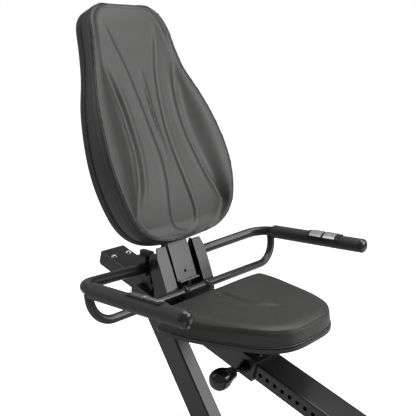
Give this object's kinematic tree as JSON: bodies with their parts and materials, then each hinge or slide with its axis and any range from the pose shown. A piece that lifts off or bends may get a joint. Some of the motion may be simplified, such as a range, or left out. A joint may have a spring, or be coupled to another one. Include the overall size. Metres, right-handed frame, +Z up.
{
  "type": "recumbent exercise bike",
  "caption": "Recumbent exercise bike: padded seat and tall backrest on a sliding carriage, side handles with pulse sensors, sloping rail, pedals, flywheel and console.",
  "frame": {"origin": "on the floor, under the middle of the whole bike's bounding box", "axes": "+X forward towards the pedals, +Y to the rider's left, +Z up"},
  "size_m": [1.4947, 0.665, 1.2691],
  "materials": {
    "black_paint": "satin black powder coat",
    "black_plastic": "black moulded plastic, fine texture",
    "bright_bolts": "bright plated domed heads",
    "foot_rubber": "matt black rubber",
    "bearing_steel": "ground steel",
    "belt_rubber": "ribbed black belt",
    "grip_foam": "closed-cell black foam",
    "console_plastic": "dark grey moulded plastic",
    "screen_glass": "dark glossy display window",
    "button_plastic": "grey plastic",
    "pulley_plastic": "glass-filled nylon",
    "flywheel_iron": "machined iron, dark",
    "magnet_steel": "nickel plated",
    "liner_nylon": "dark nylon",
    "dark_bolts": "black oxide",
    "gloss_cap": "glossy black domed plug",
    "bezel_plastic": "black semi-gloss plastic",
    "sensor_steel": "bright satin steel",
    "seat_cover": "charcoal satin leatherette over foam",
    "board_ply": "plywood, hidden by the cover",
    "gloss_knob": "glossy black knob",
    "housing_plastic": "dark moulded shell, fine texture",
    "pedal_plastic": "black moulded plastic",
    "strap_rubber": "black strap",
    "wheel_plastic": "black nylon"
  },
  "bodies": {
    "frame": {"seat_rail": "black_paint", "rail_rear_cap": "black_plastic", "rail_stop_bolts": "bright_bolts", "rear_leg": "black_paint", "base_beam": "black_paint", "rear_stabilizer": "black_paint", "rear_feet": "foot_rubber", "front_stabilizer": "black_paint", "front_feet": "foot_rubber", "front_post": "black_paint", "drive_bracket": "black_paint", "bearings": "bearing_steel", "drive_belt": "belt_rubber", "power_inlet": "black_plastic", "console_mast": "black_paint", "front_handlebar": "black_paint", "front_grips": "grip_foam", "housing_left": "housing_plastic", "housing_right": "housing_plastic"},
    "console": {"console_housing": "console_plastic", "console_screen": "screen_glass"},
    "console_button": {"console_button": "button_plastic"},
    "console_dial": {"console_dial": "button_plastic"},
    "crank": {"crank_axle": "bearing_steel", "crank_pulley": "pulley_plastic", "crank_arm_left": "black_paint", "crank_arm_right": "black_paint"},
    "pedal_left": {"pedal_left": "pedal_plastic", "pedal_strap_left": "strap_rubber"},
    "pedal_right": {"pedal_right": "pedal_plastic", "pedal_strap_right": "strap_rubber"},
    "flywheel": {"flywheel": "flywheel_iron", "flywheel_shaft": "bearing_steel"},
    "brake": {"brake_arm": "black_paint", "brake_magnets": "magnet_steel"},
    "seat": {"carriage_sleeve": "black_paint", "carriage_liner": "liner_nylon", "pin_boss": "dark_bolts", "back_bracket": "black_paint", "handle_clamps": "black_plastic", "upper_handle_tube": "black_paint", "lower_handle_tube": "black_paint", "carriage_bolts": "dark_bolts", "grips": "grip_foam", "grip_caps": "gloss_cap", "sensor_bezels": "bezel_plastic", "sensor_plates": "sensor_steel", "seat_stand": "black_paint", "seat_pan": "black_plastic", "seat_cushion": "seat_cover", "backrest_post": "black_paint", "backrest_board": "board_ply", "backrest_shell": "black_plastic", "backrest_cushion": "seat_cover", "cheek_left": "black_paint", "cheek_right": "black_paint"},
    "seat_pin": {"pin_rod": "dark_bolts", "pin_knob": "gloss_knob"},
    "transport_wheel_left": {"transport_wheel_left": "wheel_plastic"},
    "transport_wheel_right": {"transport_wheel_right": "wheel_plastic"}
  },
  "joints": [
    {"name": "seat_slide", "type": "slide", "parent": "frame", "child": "seat", "axis": [0.9598, 0, -0.2807], "range_m": [-0.0621, 0.2484]},
    {"name": "seat_pin_push", "type": "slide", "parent": "seat", "child": "seat_pin", "axis": [0, 1, 0], "range_m": [0, 0.012]},
    {"name": "console_tilt", "type": "hinge", "parent": "frame", "child": "console", "pos_m": [0.3193, 0, 1.046], "axis": [0, 1, 0], "range_deg": [-15, 10]},
    {"name": "console_button_press", "type": "slide", "parent": "console", "child": "console_button", "axis": [0.8192, 0, -0.5736], "range_m": [0, 0.0019], "stiffness_N_per_m": 500},
    {"name": "console_dial_turn", "type": "hinge", "parent": "console", "child": "console_dial", "pos_m": [0.28604, -0.04, 1.08394], "axis": [-0.8192, 0, 0.5736], "continuous": true},
    {"name": "crank_spin", "type": "hinge", "parent": "frame", "child": "crank", "pos_m": [0.4193, 0, 0.38], "axis": [0, 1, 0], "continuous": true},
    {"name": "pedal_left_spin", "type": "hinge", "parent": "crank", "child": "pedal_left", "pos_m": [0.55786, 0.14, 0.3], "axis": [0, 1, 0], "continuous": true},
    {"name": "pedal_right_spin", "type": "hinge", "parent": "crank", "child": "pedal_right", "pos_m": [0.28074, -0.14, 0.46], "axis": [0, 1, 0], "continuous": true},
    {"name": "flywheel_spin", "type": "hinge", "parent": "frame", "child": "flywheel", "pos_m": [0.6043, 0, 0.362], "axis": [0, 1, 0], "continuous": true},
    {"name": "brake_swing", "type": "hinge", "parent": "frame", "child": "brake", "pos_m": [0.68208, 0, 0.26931], "axis": [0, 1, 0], "range_deg": [0, 4]},
    {"name": "transport_wheel_left_spin", "type": "hinge", "parent": "frame", "child": "transport_wheel_left", "pos_m": [0.7253, 0.215, 0.026], "axis": [0, 1, 0], "continuous": true},
    {"name": "transport_wheel_right_spin", "type": "hinge", "parent": "frame", "child": "transport_wheel_right", "pos_m": [0.7253, -0.215, 0.026], "axis": [0, 1, 0], "continuous": true}
  ],
  "couplings": [
    {"joint": "flywheel_spin", "follows": "crank_spin", "ratio": 7.5}
  ]
}
